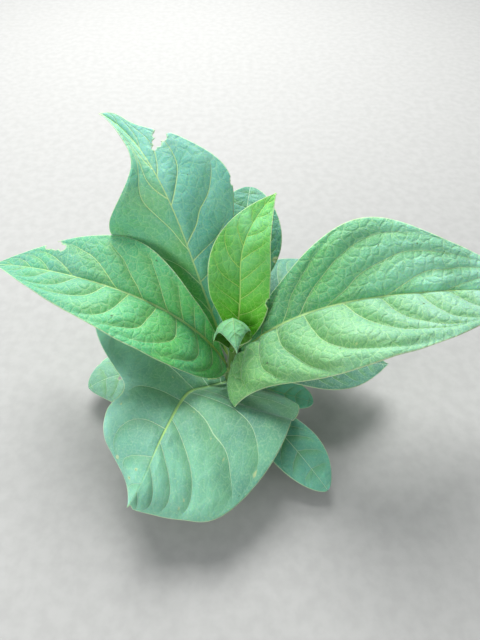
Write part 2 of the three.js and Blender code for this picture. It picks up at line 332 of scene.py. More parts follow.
def along(values, s):
    """Smooth value at share s of the way through evenly spaced station values."""
    v = np.asarray(values, float)
    n = len(v) - 1
    x = np.clip(s, 0, 1) * n
    i = np.minimum(np.floor(x).astype(int), n - 1)
    f = x - i
    p1, p2 = v[i], v[i + 1]
    p0 = np.where(i > 0, v[np.maximum(i - 1, 0)], 2 * p1 - p2)
    p3 = np.where(i < n - 1, v[np.minimum(i + 2, n)], 2 * p2 - p1)
    a = 2 * p0 - 5 * p1 + 4 * p2 - p3
    b = 3 * p1 - p0 - 3 * p2 + p3
    return 0.5 * (2 * p1 + (p2 - p0) * f + a * f**2 + b * f**3)


def half_width(side, s):
    """How far the half blade reaches from the midrib at s: a winged stalk that swells to the blade."""
    u = s ** (math.log(0.5) / math.log(side.get("widest", 0.5)))
    blade = np.maximum(np.sin(math.pi * u), 0) ** side.get("full", 1)
    stalk = side.get("wing", 0.12) * (1 - s) ** 3
    breadth = (blade * (1 - stalk) + stalk) * along(side.get("shape", [1, 1]), s)
    return np.maximum(side["half"] * breadth, TIP_HALF_WIDTH)


def slope(leaf, s):
    """The midrib's own directions at s: along it, level to its left, and up out of the blade."""
    h, c = np.radians(along(leaf["heading"], s)), np.radians(along(leaf["climb"], s))
    forward = np.stack([np.cos(c) * np.cos(h), np.cos(c) * np.sin(h), np.sin(c)], -1)
    leftward = np.stack([-np.sin(h), np.cos(h), 0 * h], -1)
    return forward, leftward, np.cross(forward, leftward)


def trace_rib(leaf):
    """The midrib's points, from just inside the line of the stem out to the tip."""
    angle = math.radians(leaf["turn"])
    reach = stem_radius(leaf["height"]) - ROOT_DEPTH
    start = stem_axis(leaf["height"]) + reach * np.array([math.cos(angle), math.sin(angle), 0])
    forward = slope(leaf, (np.arange(RIB_STEPS) + 0.5) / RIB_STEPS)[0]
    return np.vstack([start, start + np.cumsum(forward * leaf["length"] / RIB_STEPS, 0)])


def by_side(leaf, q, value):
    """value(side) of the half blade that each point is on; q > 0 is the left half."""
    return np.where(q < 0, value(leaf["right"]), value(leaf["left"]))


def blade_width(leaf, s, q):
    """How far the half blade that each point is on reaches from the midrib."""
    return by_side(leaf, q, lambda side: half_width(side, s))


def blade_points(leaf, rib, s, q):
    """Places on the blade at s along the leaf and q across it."""
    s = np.clip(s, 0, 1)
    share = np.abs(q)
    steps = np.arange(RIB_STEPS + 1)
    point = np.stack([np.interp(s * RIB_STEPS, steps, rib[:, k]) for k in range(3)], -1)
    width = blade_width(leaf, s, q)

    def side_value(name):
        return by_side(leaf, q, lambda side: along(side.get(name, [0, 0]), s))

    lift, curl, ahead = np.radians(side_value("lift")), np.radians(side_value("curl")), side_value("sweep")
    forward, leftward, upward = slope(leaf, s)
    end = lift + curl * share
    bent = np.abs(curl) > 1e-3
    bend = np.where(bent, curl, 1)
    out = np.where(bent, (np.sin(end) - np.sin(lift)) / bend, share * np.cos(lift))
    rise = np.where(bent, (np.cos(lift) - np.cos(end)) / bend, share * np.sin(lift))
    point = point + leftward * (np.sign(q) * width * out)[:, None]
    return point + upward * (width * rise)[:, None] + forward * (width * share * ahead)[:, None]


def vein_number(leaf, side, u, share):
    """A number that is whole on each side vein and grows from one to the next towards the tip.

    A vein leaves the midrib at its start, and at a share of the way out to the margin it has run
    forward by rake * share + hook * share ** 4.
    """
    starts, rakes, hooks = (np.array(v, float) for v in zip(*side["veins"]))
    start = np.arange(-OVERRUN, leaf["length"] + OVERRUN, TABLE_STEP)
    rake, hook = np.interp(start, starts, rakes), np.interp(start, starts, hooks)
    run = np.arange(TABLE_START, leaf["length"] + TABLE_PAST, TABLE_STEP)
    table = np.empty((len(run), TABLE_SHARES))
    for j, out in enumerate(np.linspace(0, 1, TABLE_SHARES)):
        reached = np.maximum.accumulate(start + rake * out + hook * out**4) + 1e-6 * start
        table[:, j] = np.interp(run, reached, start)
    before = starts[0] - (starts[1] - starts[0]) * np.arange(MORE_VEINS, 0, -1)
    after = starts[-1] + (starts[-1] - starts[-2]) * np.arange(1, MORE_VEINS + 1)
    all_starts = np.concatenate([before, starts, after])
    table = np.interp(table, all_starts, np.arange(len(all_starts)) - float(MORE_VEINS))
    a = np.clip((u - run[0]) / TABLE_STEP, 0, len(run) - 1.001)
    b = np.clip(share * (TABLE_SHARES - 1), 0, TABLE_SHARES - 1.001)
    i, j = a.astype(int), b.astype(int)
    return between(table, i, j, a - i, b - j)


def vein_field(leaf, s, q):
    """For each point: its vein number, and how many millimetres apart the veins run there."""
    u, share = s * leaf["length"], np.abs(q)
    width = blade_width(leaf, s, q)
    moved = u + np.where(q < 0, 0, OTHER_HALF)
    waver = VEIN_WAVER * ripple(moved, share * width, WAVER_PATCH, leaf["seed"])

    def number(u, share):
        return by_side(leaf, q, lambda side: vein_number(leaf, side, u, share))

    n = number(u, share)
    along_u = (number(u + TABLE_STEP, share) - number(u - TABLE_STEP, share)) / (2 * TABLE_STEP)
    out = np.minimum(share + SHARE_NUDGE, 1)
    back = np.maximum(share - SHARE_NUDGE, 0)
    along_x = (number(u, out) - number(u, back)) / (out - back) / np.maximum(width, LEAST_WIDTH)
    gap = 1 / np.maximum(np.hypot(along_u, along_x), 1e-3)
    return n + waver, gap


def pillow(number, power):
    """0 at each whole number, swelling to 1 between them, with a crease at the whole number."""
    return 1 - np.abs(2 * (number - np.floor(number)) - 1) ** power


def blade_relief(leaf, s, q):
    """How far the upper surface stands off the plain blade."""
    u, share = s * leaf["length"], np.abs(q)
    width = blade_width(leaf, s, q)
    x = share * width
    n, gap = vein_field(leaf, s, q)

    def patches(size, number):
        return ripple(u, q * width, size, leaf["seed"] + number)

    inside = np.clip((1 - share) / CUSHION_END, 0, 1) ** CUSHION_END_POWER
    inside = np.clip(x / CUSHION_START, 0, 1) * inside
    height = by_side(leaf, q, lambda side: side.get("bulge", leaf["bulge"]))
    cushion = height * np.minimum(gap, WIDEST_GAP) * pillow(n, CUSHION_POWER) * inside
    cushion = cushion * (1 + CUSHION_UNEVEN * patches(CUSHION_PATCH, 2))
    quilt = QUILT_HEIGHT * patches(QUILT_PATCH, 5) + FINE_QUILT_HEIGHT * patches(FINE_QUILT_PATCH, 6)
    cushion = cushion + quilt * inside * pillow(n, QUILT_POWER)
    groove = leaf["length"] * GROOVE_SHARE * (1 - RIB_TAPER * s)
    channel = -GROOVE_DEPTH * groove * np.exp(-((x / groove) ** 2))
    channel = channel + RIB_BACK * groove * np.exp(-((x / (RIB_BACK_WIDTH * groove)) ** 2))
    sway = leaf["sway"] * patches(SWAY_PATCH, 3) * share
    waves = ripple(u, np.sign(q) * FRILL_APART, FRILL_PATCH, leaf["seed"] + 4)
    frill = leaf["frill"] * share**4 * waves
    frill = frill * np.clip(s / FRILL_START, 0, 1) * np.clip((1 - s) / FRILL_END, 0, 1)
    return cushion + channel + (sway + frill) * np.clip(s / SWAY_START, 0, 1)


def bitten(leaf, s, q, bites):
    """s and q with the points just inside a bite drawn out to its edge, and which points lie inside."""
    deepest = np.full(len(s), np.inf)
    width = blade_width(leaf, s, q)
    u, x = s * leaf["length"], q * width
    to_u, to_x = u, x
    for u0, x0, radius in bites:
        away = np.maximum(np.hypot(u - u0, x - x0), 1e-6)
        bearing = np.arctan2(x - x0, u - u0)
        edge = radius * (1 + BITE_RAGGED * np.sin(BITE_LOBES * bearing + u0))
        nearer = away - edge < deepest
        to_u = np.where(nearer, u0 + (u - u0) * edge / away, to_u)
        to_x = np.where(nearer, x0 + (x - x0) * edge / away, to_x)
        deepest = np.minimum(deepest, away - edge)
    inside = deepest < 0
    drawn = inside & (deepest > -2 * CELL)
    s = np.where(drawn, np.clip(to_u / leaf["length"], 0, 1), s)
    width = blade_width(leaf, s, q)
    q = np.where(drawn, np.clip(to_x / width, -1, 1), q)
    return s, q, inside


def clear_of_stem(points, clearance):
    """Points that would lie in the stem are moved out to its skin."""
    centre = stem_axis(np.clip(points[:, 2], 0, STEM_HEIGHT + BUD_HEIGHT))
    level = np.clip((STEM_HEIGHT + BUD_HEIGHT - points[:, 2]) / BUD_HEIGHT, 0, 1)
    keep_out = (stem_radius(points[:, 2]) + clearance) * np.sqrt(1 - (1 - level) ** 2)
    outward = points[:, :2] - centre[:, :2]
    away = np.maximum(np.linalg.norm(outward, axis=1), 1e-6)
    push = np.maximum(keep_out / away, 1)
    moved = points.copy()
    moved[:, :2] = centre[:, :2] + outward * push[:, None]
    return moved


def set_attribute(mesh, name, columns):
    """Gives each point of the mesh three numbers under one name."""
    layer = mesh.attributes.new(name, "FLOAT_VECTOR", "POINT")
    layer.data.foreach_set("vector", np.stack(columns, -1).astype(np.float32).ravel())


def get_attribute(mesh, name):
    """The three columns of numbers kept under that name."""
    flat = np.empty(len(mesh.vertices) * 3, np.float32)
    mesh.attributes[name].data.foreach_get("vector", flat)
    return flat.reshape(-1, 3).T.astype(float)


def marked(u, x, marks, rim=0.8):
    """1 on each mark (mm along, mm across, radius), falling to 0 over the rim round it."""
    found = np.zeros(len(u))
    for u0, x0, radius in marks:
        found = np.maximum(found, np.clip(1 - (np.hypot(u - u0, x - x0) - radius) / rim, 0, 1))
    return found


def grow_leaf(node, leaf, top, underside, bites=(), scars=(), holes=()):
    """Makes one leaf: a grid shaped by the leaf's rule, bitten, thickened and given its under-veins.

    Its points keep their place on the leaf, their veins and their damage as attributes, for the skin.
    """
    span = leaf["left"]["half"] + leaf["right"]["half"]
    bpy.ops.object.select_all(action="DESELECT")
    bpy.ops.mesh.primitive_grid_add(
        x_subdivisions=round(leaf["length"] / CELL),
        y_subdivisions=2 * round(span / CELL / 2),
        size=2,
    )
    blade = bpy.context.active_object
    blade.name = node + "_blade"
    flat = points_of(blade) * MM
    s = (flat[:, 0] + 1) / 2
    q = np.sign(flat[:, 1]) * np.abs(flat[:, 1]) ** CROWDING
    q = np.where(np.abs(q) < 1e-5, 0, q)
    s, q, inside = bitten(leaf, s, q, bites)

    rib = trace_rib(leaf)
    ahead = blade_points(leaf, rib, s + NUDGE, q) - blade_points(leaf, rib, s - NUDGE, q)
    across = blade_points(leaf, rib, s, q + NUDGE) - blade_points(leaf, rib, s, q - NUDGE)
    normal = np.cross(ahead, across)
    normal /= np.maximum(np.linalg.norm(normal, axis=1, keepdims=True), 1e-9)
    points = blade_points(leaf, rib, s, q) + normal * blade_relief(leaf, s, q)[:, None]
    move_points(blade, clear_of_stem(points, BLADE_CLEARANCE))
    mesh = blade.data
    set_attribute(mesh, "outward", normal.T)

    width = blade_width(leaf, s, q)
    n, gap = vein_field(leaf, s, q)
    u, x = s * leaf["length"], q * width
    set_attribute(mesh, "place", (u, x, (1 - np.abs(q)) * width))
    set_attribute(mesh, "veins", (n, gap, 0 * n))  # the third number isn't used
    bite_rims = marked(u, x, bites, BITE_RIM)
    set_attribute(mesh, "damage", (marked(u, x, scars), marked(u, x, holes), bite_rims))

    if bites:
        for face in mesh.polygons:
            face.select = all(inside[v] for v in face.vertices)
        bpy.context.tool_settings.mesh_select_mode = (False, False, True)
        bpy.ops.object.mode_set(mode="EDIT")
        bpy.ops.mesh.delete(type="FACE")
        bpy.ops.object.mode_set(mode="OBJECT")

    mesh.materials.append(top)
    mesh.materials.append(underside)
    upper = len(mesh.vertices)
    thicken = blade.modifiers.new("thickness", "SOLIDIFY")
    thicken.thickness = BLADE_THICKNESS * MM
    thicken.offset = -1
    thicken.material_offset = 1
    bpy.ops.object.modifier_apply(modifier=thicken.name)
    mesh = blade.data
    u, x, edge = get_attribute(mesh, "place")
    n, gap, _ = get_attribute(mesh, "veins")
    outward = get_attribute(mesh, "outward").T
    mesh.attributes.remove(mesh.attributes["outward"])
    taper = 1 - RIB_TAPER * u / leaf["length"]
    rib_half = RIB_HALF * leaf["rib"] * taper
    ridge = RIB_PROUD * rib_half * np.sqrt(np.clip(1 - (x / rib_half) ** 2, 0, 1))
    off_vein = np.abs(n - np.round(n)) * gap
    vein_half = VEIN_HALF + VEIN_HALF_GROWTH * leaf["rib"]
    vein_ridge = VEIN_PROUD * leaf["rib"] * taper * np.exp(-((off_vein / vein_half) ** 2))
    ridge = np.maximum(ridge, vein_ridge * np.clip(edge / VEIN_END, 0, 1))
    points = points_of(blade)
    below = points[:upper] - outward[:upper] * (BLADE_THICKNESS + ridge[:upper])[:, None]
    points[upper : 2 * upper] = clear_of_stem(below, 0.0)
    move_points(blade, points)
    bpy.ops.object.shade_smooth()
    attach(blade, "root")
    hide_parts(node)


# The painted pattern: the midrib and the veins thin out, and a net of small cells lies between them,
# pulled out of line, with a finer net inside it.
RIB_THINNED = 0.25  # the midrib's width at the tip, as a share of that at the root
VEIN_THINNED = 0.35  # a side vein's at the margin, as a share of that at the midrib
WANDER_SCALE = 0.09
WANDER = 9
FINE_NET = 3.2  # how many times finer the second net is
FINE_NET_SHARE = 0.45
FINE_CUSHION_SHARE = 0.3


def vein_pattern():
    """The shader group that every leaf shares: where the midrib, veins, net and margin lie."""
    group = bpy.data.node_groups.new("leaf_veins", "ShaderNodeTree")
    for name in ("Place", "Veins"):
        group.interface.new_socket(name, in_out="INPUT", socket_type="NodeSocketVector")
    for name in ("Length", "Rib Width", "Rib Reach", "Vein Width", "Net Size", "Crinkle"):
        group.interface.new_socket(name, in_out="INPUT", socket_type="NodeSocketFloat")
    inputs = group.nodes.new("NodeGroupInput").outputs

    place = parts_of(group, inputs["Place"])
    veins = parts_of(group, inputs["Veins"])
    across = maths(group, "ABSOLUTE", place["Y"])
    share_along = maths(group, "DIVIDE", place["X"], inputs["Length"])
    taper = fade(group, share_along, 0.0, 1.0, 1.0, RIB_THINNED)
    rib_half = product(group, inputs["Rib Width"], taper)
    rib = fade(group, maths(group, "DIVIDE", across, rib_half), 0.75, 1.25, 1.0, 0.0)
    past = maths(group, "DIVIDE", share_along, inputs["Rib Reach"])
    rib = product(group, rib, fade(group, past, 0.7, 1.0, 1.0, 0.2))

    share_out = maths(group, "DIVIDE", across, maths(group, "ADD", across, place["Z"]))
    off = maths(group, "SUBTRACT", maths(group, "FRACT", maths(group, "ADD", veins["X"], 0.5)), 0.5)
    off = product(group, maths(group, "ABSOLUTE", off), veins["Y"])
    taper = fade(group, share_out, 0.0, 1.0, 1.0, VEIN_THINNED)
    vein_half = product(group, inputs["Vein Width"], taper)
    vein = fade(group, maths(group, "DIVIDE", off, vein_half), 0.5, 1.5, 1.0, 0.0)
    vein = product(group, vein, fade(group, share_out, 0.7, 0.98, 1.0, 0.0))

    flat = add_node(group, "CombineXYZ", {"X": place["X"], "Y": place["Y"]}).outputs[0]
    noise = add_node(group, "TexNoise", {"Vector": flat, "Scale": WANDER_SCALE, "Detail": 2.0})
    values = {0: noise.outputs["Color"], 1: (WANDER, WANDER, 0)}
    wander = add_node(group, "VectorMath", values, operation="MULTIPLY").outputs[0]
    flat = add_node(group, "VectorMath", {0: flat, 1: wander}, operation="ADD").outputs[0]
    to_edge = []
    for finer in (1.0, FINE_NET):
        scale = maths(group, "DIVIDE", finer, inputs["Net Size"])
        cells = add_node(group, "TexVoronoi", {"Vector": flat, "Scale": scale},
                         feature="DISTANCE_TO_EDGE", voronoi_dimensions="2D")
        to_edge.append(cells.outputs["Distance"])
    coarse_net = fade(group, to_edge[0], 0.01, 0.055, 1.0, 0.0)
    fine_net = fade(group, to_edge[1], 0.02, 0.14, 1.0, 0.0)
    net = maths(group, "MAXIMUM", coarse_net, product(group, fine_net, FINE_NET_SHARE))
    fine_cushion = fade(group, to_edge[1], 0.0, 0.3, 0.0, FINE_CUSHION_SHARE)
    cushion = maths(group, "ADD", fade(group, to_edge[0], 0.0, 0.3), fine_cushion)

    margin = fade(group, place["Z"], 0.3, 1.3, 1.0, 0.0)
    sunk = product(group, maths(group, "MAXIMUM", vein, rib), -1.0)
    height = maths(group, "MULTIPLY_ADD", cushion, inputs["Crinkle"], sunk)
    shown = {"Rib": rib, "Vein": vein, "Net": net, "Margin": margin, "Height": height}
    for name in shown:
        group.interface.new_socket(name, in_out="OUTPUT", socket_type="NodeSocketFloat")
    set_inputs(group, group.nodes.new("NodeGroupOutput"), shown)
    return group


VEIN_PATTERN = vein_pattern()
VEIN_GREEN = "#b4d892"
RIB_GREEN = "#b4d890"
RIB_FOOT = "#a9c765"
PAINTED_SHADE_GREEN = "#5f9440"  # painted shade: a yellower green low on each cushion next to its vein, where it slopes from the light
SCAR_YELLOW = "#c9c98a"
HOLE_BROWN = "#3a4a28"
# a pale line painted along the margin as a highlight where its hairs catch the light, and the pale of a
# bite's dried rim
EDGE_HIGHLIGHT_AND_DRY_RIM = "#c5d6a8"
DOWN_PALE = "#cfe0b0"
SPECK_GREEN = "#3c5a30"
BLOOM_TINT = (0.86, 0.97, 1.0, 1)
FLESH_RADIUS = (0.6, 1.0, 0.15)  # light goes deepest in green, and least deep in blue
FLESH_DEPTH = 0.002
DRIFT = (0.1, 0.95)  # share of the leaf over which the root's green turns to the tip's
# the left half's painted light and shade turns from its root's colour to its tip's over this share of the
# leaf
LEFT_LIGHT_DRIFT = (0.28, 0.95)
FLAP_LIGHT_FADE = (-40.0, -95.0)  # millimetres across over which the painted light on the bent-over right half comes in
RIB_FOOT_FADE = (30.0, 120.0)  # millimetres along over which the midrib loses its yellow foot
MOTTLE_SCALE = 14.0
DOWN_SCALE = 420.0
HAIR_SCALE = 1500.0
SPECK_SCALE = 0.045
LEAF_BUMP = 0.0012
UNDER_RIB = 1.4  # how much wider the midrib and the veins show on an underside
UNDER_VEIN = 1.5


def leaf_material(
    name, leaf, greens, vein=VEIN_GREEN, rib=RIB_GREEN, vein_share=0.7, vein_width=0.55,
    net_share=0.16, shade=PAINTED_SHADE_GREEN, shade_share=0.4, left_painted_light_greens=None, painted_flap_light=None, rib_from=0,
    bloom=0.3, gloss=0.4, under=False,
):
    """A leaf's skin: greens that drift into each other, paler veins, a yellower painted shade next to
    the veins, a pale painted highlight along the margin, and a hairy bloom.

    greens are those of the root, the mottled patches and the tip. left_painted_light_greens, where given,
    are the left half's root and tip, painted lighter or darker than the right half for how it faces the
    light, and flap is a paler colour painted as light on a right half that bends over into shadow. The
    midrib shows fully from rib_from millimetres on.
    """
    material, tree, shader = new_material(name)
    place = add_node(tree, "Attribute", attribute_name="place").outputs["Vector"]
    veins = add_node(tree, "Attribute", attribute_name="veins").outputs["Vector"]
    values = {
        "Place": place,
        "Veins": veins,
        "Length": leaf["length"],
        "Rib Width": leaf.get("rib_seen", leaf["rib"]) * (UNDER_RIB if under else 1),
        "Rib Reach": leaf.get("rib_reach", 1.4),
        "Vein Width": vein_width * (UNDER_VEIN if under else 1),
        "Net Size": leaf.get("net_size", 11.0),
        "Crinkle": leaf.get("crinkle", 0.8),
    }
    pattern = add_node(tree, "Group", values, node_tree=VEIN_PATTERN)

    # The greens, the painted light and shade of the left half and of the bent-over right half, the mottled
    # patches in them and the pale down over them.
    base, deep, outer = (colour(c) for c in greens)
    spot = parts_of(tree, place)
    along_leaf = maths(tree, "DIVIDE", spot["X"], leaf["length"])
    skin = blend(tree, fade(tree, along_leaf, *DRIFT), base, outer)
    if left_painted_light_greens:
        left_painted_light = blend(tree, fade(tree, along_leaf, *LEFT_LIGHT_DRIFT), *(colour(c) for c in left_painted_light_greens))
        skin = blend(tree, fade(tree, spot["Y"], -2.0, 3.0, 0.0, 0.85), skin, left_painted_light)
    if painted_flap_light:
        skin = blend(tree, fade(tree, spot["Y"], *FLAP_LIGHT_FADE), skin, colour(painted_flap_light))
    skin = blend(tree, fade(tree, mottle(tree, MOTTLE_SCALE), 0.42, 0.66, 0.0, 0.6), skin, deep)
    down = fade(tree, mottle(tree, DOWN_SCALE, 2.0), 0.45, 0.8, 0.0, 0.6 * bloom)
    skin = blend(tree, down, skin, colour(DOWN_PALE))

    # Painted shade next to each vein, then the net, the veins, the midrib and the margin's painted
    # highlight.
    past_vein = maths(tree, "FRACT", parts_of(tree, veins)["X"])
    painted_shade = fade(tree, past_vein, 0.02, 0.55, shade_share, 0.0)
    painted_shade = product(tree, painted_shade, fade(tree, spot["Z"], 3.0, 14.0))
    skin = blend(tree, painted_shade, skin, colour(shade))
    skin = blend(tree, product(tree, pattern.outputs["Net"], net_share), skin, colour(vein))
    vein_shown = fade(tree, along_leaf, 0.55, 0.9, vein_share, 0.4 * vein_share)
    vein_shown = product(tree, pattern.outputs["Vein"], vein_shown)
    skin = blend(tree, vein_shown, skin, colour(vein))
    rib_green = blend(tree, fade(tree, spot["X"], *RIB_FOOT_FADE), colour(RIB_FOOT), colour(rib))
    rib_shown = fade(tree, spot["X"], rib_from - 40.0, rib_from, 0.3, 0.9)
    skin = blend(tree, product(tree, pattern.outputs["Rib"], rib_shown), skin, rib_green)
    # Painted highlight: a pale line along the margin where its hairs catch the light.
    margin = product(tree, pattern.outputs["Margin"], 0.7)
    skin = blend(tree, margin, skin, colour(EDGE_HIGHLIGHT_AND_DRY_RIM))

    # Small dark specks all over, then the scars, the pin holes and the bites' rims.
    specks = add_node(tree, "TexVoronoi", {"Vector": place, "Scale": SPECK_SCALE, "Randomness": 1.0})
    speck = fade(tree, specks.outputs["Distance"], 0.02, 0.045, 0.8, 0.0)
    skin = blend(tree, speck, skin, colour(SPECK_GREEN))
    damage = parts_of(tree, add_node(tree, "Attribute", attribute_name="damage").outputs["Vector"])
    for part, most, tint in (("X", 0.5, SCAR_YELLOW), ("Y", 0.85, HOLE_BROWN), ("Z", 0.6, EDGE_HIGHLIGHT_AND_DRY_RIM)):
        skin = blend(tree, fade(tree, damage[part], 0.1, 1.0, 0.0, most), skin, colour(tint))

    # How it takes the light: half matt with hairs, a bluish bloom, and flesh that lets some light in.
    hairs = mottle(tree, HAIR_SCALE, 2.0)
    raised = -1.0 if under else 1.0
    hair_height = product(tree, hairs, 0.2)
    high = maths(tree, "MULTIPLY_ADD", pattern.outputs["Height"], raised, hair_height)
    relief = add_node(tree, "Bump", {"Height": high, "Strength": 0.7, "Distance": LEAF_BUMP})
    set_inputs(tree, shader, {
        "Base Color": skin,
        "Roughness": fade(tree, hairs, 0.2, 0.8, 0.48, 0.66),
        "Specular IOR Level": gloss,
        "Sheen Weight": bloom,
        "Sheen Roughness": 0.45,
        "Sheen Tint": BLOOM_TINT,
        "Subsurface Weight": 0.25,
        "Subsurface Radius": FLESH_RADIUS,
        "Subsurface Scale": FLESH_DEPTH,
        "Normal": relief.outputs[0],
    })
    return material


# Each leaf: where it leaves the stem (turn in degrees, height), its length, its midrib's size, its seed,
# the height of its cushions, sway and frill, and its midrib's bearing and climb in degrees at even
# stations. Each half blade: its reach, where it is widest, how full it is, how its stalk is winged, and
# at even stations its outline (shape), how it stands up (lift), bends (curl) and runs forward (sweep).
# Its veins: start along the midrib, rake and hook.
leaf_right = {
    "turn": -30, "height": 88, "length": 412, "rib": 1.4, "seed": 11,
    "bulge": 0.13, "sway": 3.0, "frill": 1.5, "crinkle": 0.85,
    "heading": [2, 3, 3, 3, 4], "climb": [70, 36, 10, 0, -14],
    "left": {
        "half": 94, "lift": [20, 36, 38, 34, 25], "shape": [0.4, 0.62, 1.02, 0.86, 0.9],
        "veins": [(20, 12, 20), (58, 30, 40), (96, 45, 45), (116, 75, 130), (155, 150, 130),
                  (222, 175, 50), (300, 110, 10), (350, 60, 5)],
    },
    "right": {
        "half": 92, "widest": 0.45, "wing": 0.85, "bulge": 0.22,
        "lift": [35, -4, 5, 6, 4], "curl": [-60, -14, 0, 0, 0],
        "veins": [(10, -30, 10), (34, -25, 20), (58, -8, 40), (86, 10, 60), (122, 25, 130),
                  (176, 55, 160), (218, 48, 90), (262, 40, 45), (300, 40, 30), (340, 30, 15),
                  (378, 20, 0)],
    },
}
# Its tipped-up left half is painted darker at the root and pale blue green at the tip, painted shade and
# painted sheen for how it faces the light; a yellower painted shade lies next to each vein.
right_top = leaf_material(
    "right_leaf_top", leaf_right, ("#62a05c", "#569870", "#92c2ae"),
    net_share=0.35, left_painted_light_greens=("#3e9e5e", "#b2f2de"), shade="#4c8a34", shade_share=0.5)
right_under = leaf_material(
    "right_leaf_underside", leaf_right, ("#a5cf9c", "#8fc293", "#a9d3ae"), under=True)
right_holes = [(267, 58, 0.8), (224, 60, 0.8), (261, -26, 0.9), (161, -62, 1), (68, -46, 1)]
right_scars = [(180, -64, 1), (283, -8, 0.8)]  # mm along, mm across, radius
grow_leaf("leaf_right", leaf_right, right_top, right_under, scars=right_scars, holes=right_holes)


# The leaf to the left: its near half lies open in swollen arcs, its far half stands steeply and folds
# back to the stem. A caterpillar has eaten a notch out of the far margin near the tip.
leaf_left = {
    "turn": 203, "height": 70, "length": 388, "rib": 1.4, "seed": 23,
    "bulge": 0.1, "sway": 2.5, "frill": 1.2, "crinkle": 0.6,
    "heading": [160, 168, 165, 160, 160], "climb": [67, 43, 13, -7, -18],
    "left": {
        "half": 70, "widest": 0.36, "wing": 0.2, "lift": [-5, 0, 5, 5, 5], "bulge": 0.13,
        "veins": [(20, -30, 40), (48, -45, 80), (80, -55, 120), (114, -25, 110), (142, 0, 80),
                  (181, 8, 40), (208, 25, 130), (248, 30, 90), (286, 35, 50), (322, 35, 20),
                  (356, 25, 10)],
    },
    "right": {
        "half": 72, "widest": 0.42, "wing": 0.06,
        "lift": [10, 66, 34, 20, 10], "shape": [0.12, 0.48, 0.94, 1, 1],
        "veins": [(20, 20, 0), (42, 24, 0), (60, 27, 0), (80, 30, 0), (100, 38, 0), (122, 56, 0),
                  (158, 70, 15), (194, 93, 10), (254, 79, 10), (288, 60, 10), (320, 45, 5),
                  (352, 30, 0)],
    },
}
left_top = leaf_material(
    "left_leaf_top", leaf_left, ("#54b85a", "#48aa78", "#549288"),
    vein="#bce094", vein_share=0.8, net_share=0.28)
left_under = leaf_material(
    "left_leaf_underside", leaf_left, ("#9ccb98", "#86bd8e", "#a5d0ab"), under=True)
left_bites = [(304, -37, 9), (293, -35, 7), (283, -33, 5)]
left_holes = [(183, 44, 1.2), (163, -52, 1)]
grow_leaf("leaf_left", leaf_left, left_top, left_under, left_bites, holes=left_holes)


# The leaf at the back: it rises on a long rib, its left half folds back and its right half faces the
# light. Two strong side veins part from the midrib a third of the way up.
leaf_back = {
    "turn": 156, "height": 84, "length": 382, "rib": 1.7, "seed": 37,
    "bulge": 0.07, "sway": 2.5, "frill": 1.5, "crinkle": 0.35,
    "heading": [130, 129, 125, 125, 140], "climb": [60, 64, 56, 21, 0],
    "left": {
        "half": 92, "wing": 0.05, "lift": [-20, -50, -56, -12, 60],
        "shape": [0.3, 0.2, 0.25, 0.56, 1.02, 0.98, 0.3, 0.35, 0.8],
        "veins": [(30, 25, 0), (70, 40, 0), (115, 60, 10), (165, 200, 20), (230, 120, 20),
                  (270, 80, 20), (310, 50, 10), (350, 25, 0)],
    },
    "right": {
        "half": 86, "wing": 0.06, "lift": [20, 15, 15, 20, 60],
        "shape": [0.2, 0.15, 0.28, 0.6, 0.8, 0.98, 0.76, 0.4, 0.8],
        "veins": [(30, 20, 0), (70, 20, 0), (119, 23, 0), (148, 30, 10), (168, 80, 20),
                  (220, 100, 10), (262, 90, 10), (300, 60, 10), (345, 30, 0)],
    },
}
# Its folded-back left half is painted yellower than the bluer right half: painted shade and painted sheen
# for how each half faces the light.
back_top = leaf_material(
    "back_leaf_top", leaf_back, ("#5cb28e", "#56aa96", "#88c4b8"), net_share=0.25,
    vein="#bce09c", vein_share=0.9, vein_width=0.8, left_painted_light_greens=("#4c9e24", "#80c09c"), shade_share=0.15)
back_under = leaf_material(
    "back_leaf_underside", leaf_back, ("#8fc48f", "#79b58a", "#9ccba6"), under=True)
back_bites = [(306, -38, 11), (298, -29, 8), (293, -21, 5.5), (290, -15, 3), (219, -82, 6)]
grow_leaf("leaf_back", leaf_back, back_top, back_under, back_bites)


# The leaf in front: the broadest, low and nearly level with its margin drooping all round. Its midrib
# starts under the left leaf and shows thick and yellow before it thins out towards the tip.
leaf_front = {
    "turn": -132, "height": 38, "length": 248, "rib": 1.9, "seed": 41,
    "bulge": 0.06, "sway": 3.0, "frill": 1.5, "crinkle": 0.18,
    "rib_seen": 2.5, "rib_reach": 0.85,  # the midrib's painted width, and where it fades
    "heading": [-140, -140, -140, -113, -108, -108, -107, -114, -135],
    "climb": [30, 33, 36, 23, 12, 8, -2, -14, -34],
    "left": {
        "half": 132, "widest": 0.4, "wing": 0.3, "full": 0.8,
        "lift": [25, 18, -14, -25, -30], "curl": [0, 0, -12, -30, -40],
        "sweep": [-0.4, -0.45, 0.4, 0.7, 0.8],
        "shape": [1.1, 1.1, 1, 1.06, 0.96, 0.88, 0.78, 0.7, 0.6],
        "veins": [(12, 0, 0), (34, 0, 10), (58, 8, 20), (78, 15, 30), (98, 30, 10), (132, 40, 30),
                  (166, 40, 20), (198, 30, 10), (226, 15, 0)],
    },
    "right": {
        "half": 150, "widest": 0.35, "wing": 0.1, "full": 0.8,
        "lift": [0, 16, 14, 0, -6], "curl": [0, 0, 0, -16, -28],
        "sweep": [0, 0.5, 0, 0, 0],
        "shape": [0.3, 0.36, 1.06, 0.62, 0.5, 0.66, 0.72, 0.62, 0.5],
        "veins": [(14, -10, 0), (38, -10, 20), (68, -10, 30), (100, -8, 40), (147, 0, 85),
                  (184, 10, 40), (218, 15, 10)],
    },
}
